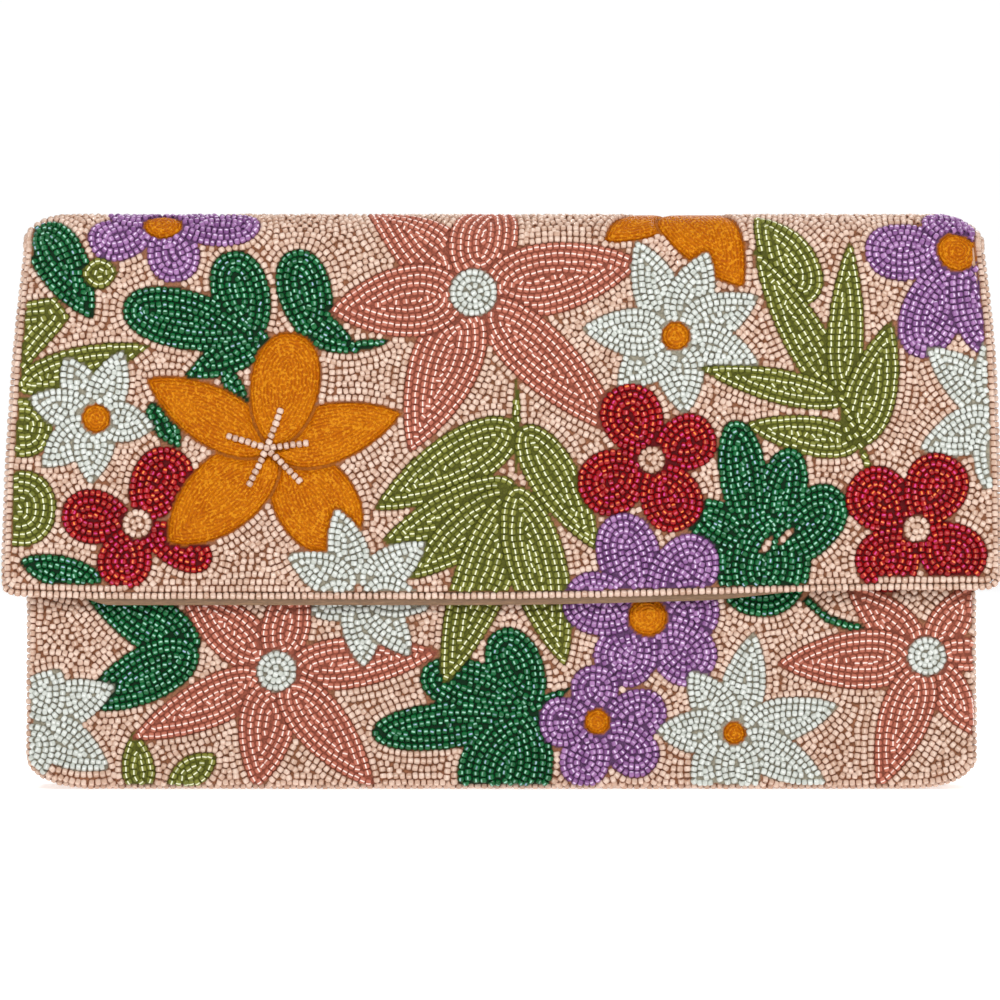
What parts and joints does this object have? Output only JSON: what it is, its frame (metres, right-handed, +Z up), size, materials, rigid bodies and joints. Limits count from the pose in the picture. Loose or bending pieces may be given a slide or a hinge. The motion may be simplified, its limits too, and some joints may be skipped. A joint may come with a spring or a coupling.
{
  "type": "clutch purse",
  "caption": "Hand-beaded fold-over clutch purse: flap on a soft top fold, folded side gussets, satin lining with a slip pocket, and a hidden magnetic snap.",
  "frame": {"origin": "centre of the bounding box in X and Y, on the plane that the base stands on", "axes": "+Z up, +X along the width (the wearer's left, seen from the front it runs right), and -Y is the front with the flap"},
  "size_m": [0.267, 0.032, 0.154],
  "materials": {
    "peach_beads": "opaque lustre seed beads with worked flowers and leaves",
    "edge_beads": "one straight row of lustre seed beads",
    "backing_satin": "satin, tan to beige",
    "stiffening_card": "plain card, hidden",
    "lining_satin": "smooth satin lining",
    "binding_satin": "folded satin tape",
    "snap_plating": "pale gold plating",
    "snap_plate_steel": "plain steel",
    "snap_magnet_ferrite": "dark ferrite"
  },
  "bodies": {
    "bag": {"back_beadwork": "peach_beads", "back_satin": "backing_satin", "back_board": "stiffening_card", "back_lining": "lining_satin", "base_beadwork": "peach_beads", "base_board": "stiffening_card", "base_lining": "lining_satin", "gusset_left": "backing_satin", "gusset_right": "backing_satin", "slip_pocket": "lining_satin", "pocket_binding": "binding_satin"},
    "front": {"front_beadwork": "peach_beads", "front_satin": "backing_satin", "front_board": "stiffening_card", "front_lining": "lining_satin", "mouth_binding": "binding_satin", "snap_socket_case": "snap_plating", "snap_magnet": "snap_magnet_ferrite", "snap_socket_plate": "snap_plate_steel"},
    "flap_fold": {"fold_beadwork": "peach_beads", "fold_satin": "backing_satin", "fold_lining": "lining_satin"},
    "flap": {"flap_beadwork": "peach_beads", "flap_edge_row": "edge_beads", "flap_satin": "backing_satin", "flap_board": "stiffening_card", "flap_lining": "lining_satin", "snap_stud": "snap_plating", "snap_stud_plate": "snap_plate_steel"}
  },
  "joints": [
    {"name": "flap_lift", "type": "hinge", "parent": "bag", "child": "flap_fold", "pos_m": [0, 0.00764, 0.14432], "axis": [-1, 0, 0], "range_deg": [0, 90]},
    {"name": "flap_unroll", "type": "hinge", "parent": "flap_fold", "child": "flap", "pos_m": [0, -0.00763, 0.1445], "axis": [-1, 0, 0], "range_deg": [0, 90]},
    {"name": "mouth_open", "type": "hinge", "parent": "bag", "child": "front", "pos_m": [0, -0.01438, 0.0026], "axis": [1, 0, 0], "range_deg": [0, 12], "deforming": ["gusset_left", "gusset_right"]}
  ],
  "couplings": [
    {"joint": "flap_unroll", "follows": "flap_lift", "ratio": 1},
    {"joint": "mouth_open", "follows": "flap_lift", "ratio": 0.1333}
  ]
}
